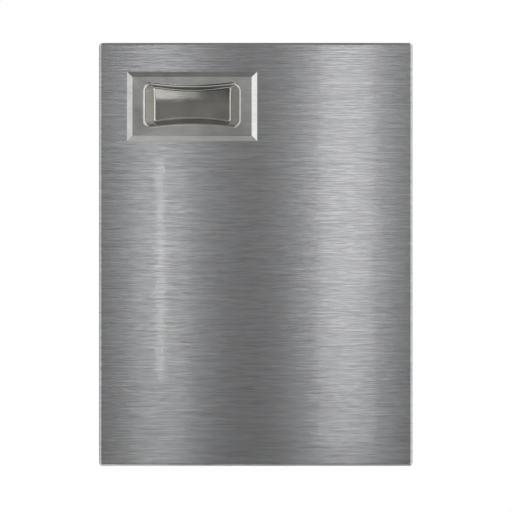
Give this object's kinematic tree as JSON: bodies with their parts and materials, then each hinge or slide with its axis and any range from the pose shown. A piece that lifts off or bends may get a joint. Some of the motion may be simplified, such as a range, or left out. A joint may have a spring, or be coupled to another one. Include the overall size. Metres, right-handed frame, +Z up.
{
  "type": "grill cabinet door",
  "caption": "Right-hung brushed stainless cabinet door with a recessed hourglass finger pull, a screwed liner and concealed lift-off hinges.",
  "frame": {"origin": "middle of the four hinge screws, on the face of the cabinet that the hinge leaves sit on", "axes": "+X to the hinge side as seen from the front, +Y back into the cabinet, +Z up"},
  "size_m": [0.356, 0.029, 0.48],
  "materials": {
    "brushed_front": "stainless sheet brushed along the width, satin",
    "satin_pull": "pressed stainless sheet, fine satin polish",
    "liner_steel": "plain mill-finish stainless sheet",
    "zinc_steel": "bright zinc-plated mild steel",
    "screw_steel": "plain stainless fasteners",
    "turned_steel": "smooth drawn stainless rod",
    "spring_wire": "drawn stainless spring wire",
    "spring_clip": "oiled dark spring steel",
    "white_nylon": "natural nylon, moulded",
    "black_rubber": "matt black rubber"
  },
  "bodies": {
    "cabinet_side": {"upper_hinge_arm": "zinc_steel", "lower_hinge_arm": "zinc_steel", "upper_hinge_bush": "white_nylon", "lower_hinge_bush": "white_nylon"},
    "door": {"front_panel": "brushed_front", "back_liner": "liner_steel", "liner_screws": "screw_steel", "stiffener_channel": "zinc_steel", "handle_pull": "satin_pull", "handle_gasket": "black_rubber", "handle_backing_frame": "zinc_steel", "handle_studs": "screw_steel", "handle_washers": "screw_steel", "handle_nuts": "screw_steel", "upper_hinge_bracket": "zinc_steel", "lower_hinge_bracket": "zinc_steel", "hinge_studs": "screw_steel", "hinge_nuts": "screw_steel", "lower_pin": "turned_steel", "lower_clip": "spring_clip", "release_spring": "spring_wire", "strike_plate": "zinc_steel", "strike_screws": "screw_steel", "upper_bumper": "black_rubber", "lower_bumper": "black_rubber"},
    "release_pin": {"release_pin": "turned_steel", "release_clip": "spring_clip"}
  },
  "joints": [
    {"name": "door_swing", "type": "hinge", "parent": "cabinet_side", "child": "door", "pos_m": [0.026, -0.017, 0], "axis": [0, 0, 1], "range_deg": [0, 110]},
    {"name": "release_pin_slide", "type": "slide", "parent": "door", "child": "release_pin", "axis": [0, 0, -1], "range_m": [0, 0.009], "stiffness_N_per_m": 800, "springref_m": -0.006, "deforming": ["release_spring"]}
  ]
}
